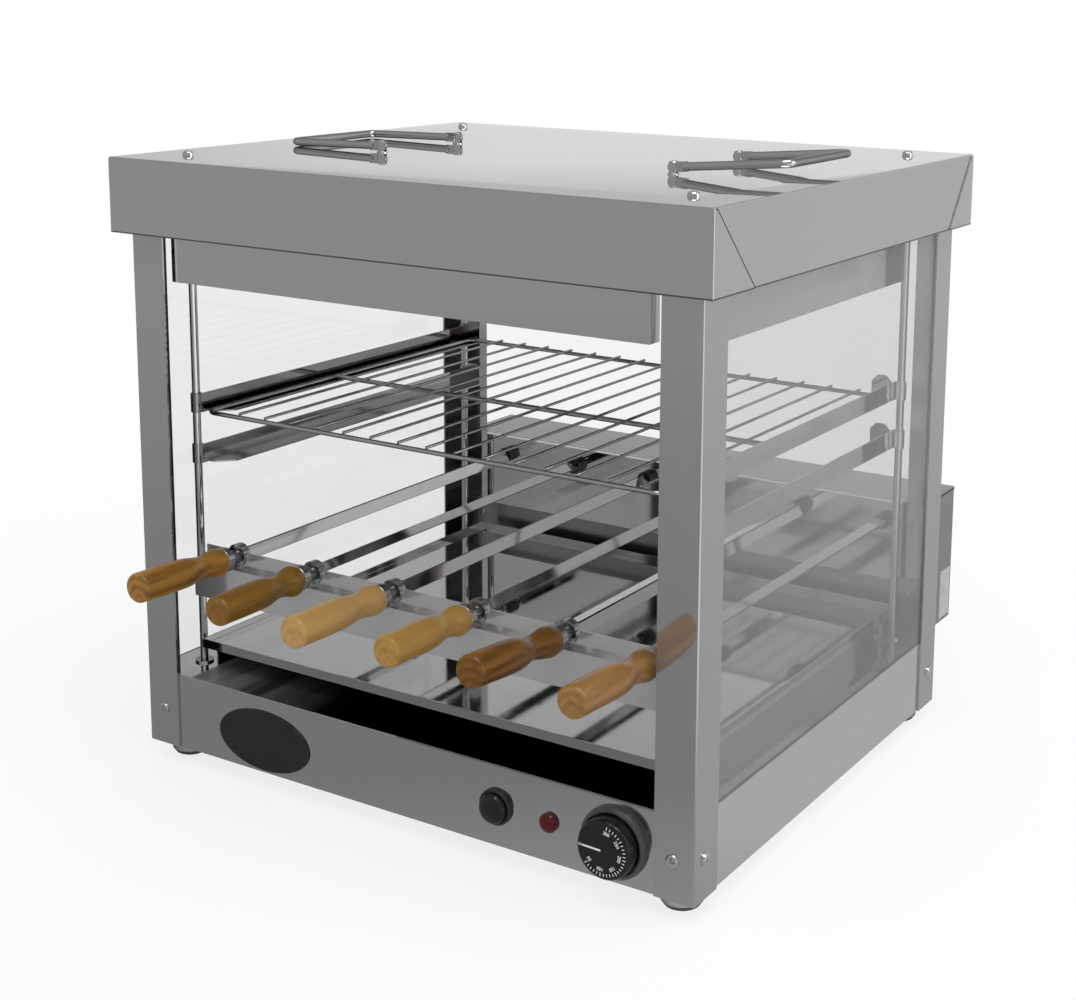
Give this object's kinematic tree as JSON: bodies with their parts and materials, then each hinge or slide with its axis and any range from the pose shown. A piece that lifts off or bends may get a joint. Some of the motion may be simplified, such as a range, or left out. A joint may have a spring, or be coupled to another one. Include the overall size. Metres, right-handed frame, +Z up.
{
  "type": "electric skewer grill",
  "caption": "Electric skewer grill with glass sides, a geared drive for its skewers, a wire shelf and a drip tray.",
  "frame": {"origin": "centre of the overall bounding box, on the table that the feet stand on", "axes": "+X to the right as seen from the front, +Y to the back, +Z up; the skewers' handles point to -Y"},
  "size_m": [0.5, 0.554, 0.4757],
  "materials": {
    "lid_steel": "bright satin",
    "brushed_steel": "brushed",
    "polished_steel": "mirror polished stainless steel",
    "dark_steel": "dark, in shadow",
    "heater_sheath": "dull grey sheath",
    "clear_glass": "clear",
    "chromed_wire": "bright wire",
    "turned_wood": "varnished",
    "gear_steel": "plain steel",
    "black_plastic": "satin black",
    "gloss_black": "gloss black",
    "red_lens": "translucent red"
  },
  "bodies": {
    "root": {"badge_plate": "black_plastic", "bail_studs": "polished_steel", "base_deck": "polished_steel", "base_front": "brushed_steel", "base_rear": "dark_steel", "base_tub": "brushed_steel", "bearing_plate": "dark_steel", "cable_gland": "black_plastic", "crossbar": "polished_steel", "drive_box": "polished_steel", "drive_housing": "brushed_steel", "feet": "polished_steel", "gear_motor": "dark_steel", "glass_rear": "clear_glass", "glass_sides": "clear_glass", "heater_hood": "brushed_steel", "heating_elements": "heater_sheath", "lid": "lid_steel", "pilot_lamp": "red_lens", "post_front_left": "brushed_steel", "post_front_right": "brushed_steel", "post_rear_left": "brushed_steel", "post_rear_right": "brushed_steel", "screws": "polished_steel", "shelf_rails": "polished_steel", "switch_housing": "black_plastic", "thermostat": "black_plastic", "tie_rods": "polished_steel", "tray_runners": "polished_steel"},
    "skewer_1": {"skewer_blade_1": "polished_steel", "skewer_grip_1": "turned_wood"},
    "drive_spindle_1": {"spindle_1": "gear_steel"},
    "skewer_2": {"skewer_blade_2": "polished_steel", "skewer_grip_2": "turned_wood"},
    "drive_spindle_2": {"spindle_2": "gear_steel"},
    "skewer_3": {"skewer_blade_3": "polished_steel", "skewer_grip_3": "turned_wood"},
    "drive_spindle_3": {"spindle_3": "gear_steel"},
    "skewer_4": {"skewer_blade_4": "polished_steel", "skewer_grip_4": "turned_wood"},
    "drive_spindle_4": {"spindle_4": "gear_steel"},
    "skewer_5": {"skewer_blade_5": "polished_steel", "skewer_grip_5": "turned_wood"},
    "drive_spindle_5": {"spindle_5": "gear_steel"},
    "skewer_6": {"skewer_blade_6": "polished_steel", "skewer_grip_6": "turned_wood"},
    "drive_spindle_6": {"spindle_6": "gear_steel"},
    "idler_1": {"idler_gear_1": "gear_steel"},
    "idler_2": {"idler_gear_2": "gear_steel"},
    "idler_3": {"idler_gear_3": "gear_steel"},
    "idler_4": {"idler_gear_4": "gear_steel"},
    "idler_5": {"idler_gear_5": "gear_steel"},
    "pinion": {"motor_pinion": "gear_steel"},
    "shelf": {"shelf_frame": "chromed_wire", "shelf_wires": "chromed_wire"},
    "tray": {"drip_tray": "polished_steel"},
    "dial_knob": {"thermostat_knob": "gloss_black"},
    "push_button": {"switch_button": "gloss_black"},
    "left_bail": {"bail_left": "chromed_wire"},
    "right_bail": {"bail_right": "chromed_wire"}
  },
  "joints": [
    {"name": "idler_3_spin", "type": "hinge", "parent": "root", "child": "idler_3", "pos_m": [0.009, 0.209, 0.14163], "axis": [0, 1, 0], "continuous": true},
    {"name": "idler_1_spin", "type": "hinge", "parent": "root", "child": "idler_1", "pos_m": [-0.139, 0.209, 0.14163], "axis": [0, 1, 0], "continuous": true},
    {"name": "idler_2_spin", "type": "hinge", "parent": "root", "child": "idler_2", "pos_m": [-0.065, 0.209, 0.14163], "axis": [0, 1, 0], "continuous": true},
    {"name": "idler_4_spin", "type": "hinge", "parent": "root", "child": "idler_4", "pos_m": [0.083, 0.209, 0.14163], "axis": [0, 1, 0], "continuous": true},
    {"name": "idler_5_spin", "type": "hinge", "parent": "root", "child": "idler_5", "pos_m": [0.157, 0.209, 0.14163], "axis": [0, 1, 0], "continuous": true},
    {"name": "spindle_1_spin", "type": "hinge", "parent": "root", "child": "drive_spindle_1", "pos_m": [-0.176, 0.2, 0.1615], "axis": [0, 1, 0], "continuous": true},
    {"name": "spindle_2_spin", "type": "hinge", "parent": "root", "child": "drive_spindle_2", "pos_m": [-0.102, 0.2, 0.1615], "axis": [0, 1, 0], "continuous": true},
    {"name": "spindle_3_spin", "type": "hinge", "parent": "root", "child": "drive_spindle_3", "pos_m": [-0.028, 0.2, 0.1615], "axis": [0, 1, 0], "continuous": true},
    {"name": "spindle_4_spin", "type": "hinge", "parent": "root", "child": "drive_spindle_4", "pos_m": [0.046, 0.2, 0.1615], "axis": [0, 1, 0], "continuous": true},
    {"name": "spindle_5_spin", "type": "hinge", "parent": "root", "child": "drive_spindle_5", "pos_m": [0.12, 0.2, 0.1615], "axis": [0, 1, 0], "continuous": true},
    {"name": "spindle_6_spin", "type": "hinge", "parent": "root", "child": "drive_spindle_6", "pos_m": [0.194, 0.2, 0.1615], "axis": [0, 1, 0], "continuous": true},
    {"name": "pinion_spin", "type": "hinge", "parent": "root", "child": "pinion", "pos_m": [0.009, 0.209, 0.09963], "axis": [0, 1, 0], "continuous": true},
    {"name": "skewer_1_pull", "type": "slide", "parent": "drive_spindle_1", "child": "skewer_1", "axis": [0, -1, 0], "range_m": [0, 0.36]},
    {"name": "skewer_2_pull", "type": "slide", "parent": "drive_spindle_2", "child": "skewer_2", "axis": [0, -1, 0], "range_m": [0, 0.36]},
    {"name": "skewer_3_pull", "type": "slide", "parent": "drive_spindle_3", "child": "skewer_3", "axis": [0, -1, 0], "range_m": [0, 0.36]},
    {"name": "skewer_4_pull", "type": "slide", "parent": "drive_spindle_4", "child": "skewer_4", "axis": [0, -1, 0], "range_m": [0, 0.36]},
    {"name": "skewer_5_pull", "type": "slide", "parent": "drive_spindle_5", "child": "skewer_5", "axis": [0, -1, 0], "range_m": [0, 0.36]},
    {"name": "skewer_6_pull", "type": "slide", "parent": "drive_spindle_6", "child": "skewer_6", "axis": [0, -1, 0], "range_m": [0, 0.36]},
    {"name": "shelf_slide", "type": "slide", "parent": "root", "child": "shelf", "axis": [0, -1, 0], "range_m": [0, 0.3]},
    {"name": "tray_slide", "type": "slide", "parent": "root", "child": "tray", "axis": [0, -1, 0], "range_m": [0, 0.32]},
    {"name": "thermostat_turn", "type": "hinge", "parent": "root", "child": "dial_knob", "pos_m": [0.179, -0.2, 0.0412], "axis": [0, 1, 0], "range_deg": [0, 270]},
    {"name": "switch_push", "type": "slide", "parent": "root", "child": "push_button", "axis": [0, 1, 0], "range_m": [0, 0.003], "stiffness_N_per_m": 600, "springref_m": -0.002},
    {"name": "left_bail_lift", "type": "hinge", "parent": "root", "child": "left_bail", "pos_m": [-0.115, -0.017, 0.465], "axis": [0, 1, 0], "range_deg": [0, 100]},
    {"name": "right_bail_lift", "type": "hinge", "parent": "root", "child": "right_bail", "pos_m": [0.138, -0.017, 0.465], "axis": [0, -1, 0], "range_deg": [-6, 94]}
  ],
  "couplings": [
    {"joint": "idler_1_spin", "follows": "idler_3_spin", "ratio": 1},
    {"joint": "idler_2_spin", "follows": "idler_3_spin", "ratio": 1},
    {"joint": "idler_4_spin", "follows": "idler_3_spin", "ratio": 1},
    {"joint": "idler_5_spin", "follows": "idler_3_spin", "ratio": 1},
    {"joint": "spindle_1_spin", "follows": "idler_3_spin", "ratio": -3},
    {"joint": "spindle_2_spin", "follows": "idler_3_spin", "ratio": -3},
    {"joint": "spindle_3_spin", "follows": "idler_3_spin", "ratio": -3},
    {"joint": "spindle_4_spin", "follows": "idler_3_spin", "ratio": -3},
    {"joint": "spindle_5_spin", "follows": "idler_3_spin", "ratio": -3},
    {"joint": "spindle_6_spin", "follows": "idler_3_spin", "ratio": -3},
    {"joint": "pinion_spin", "follows": "idler_3_spin", "ratio": -3}
  ]
}
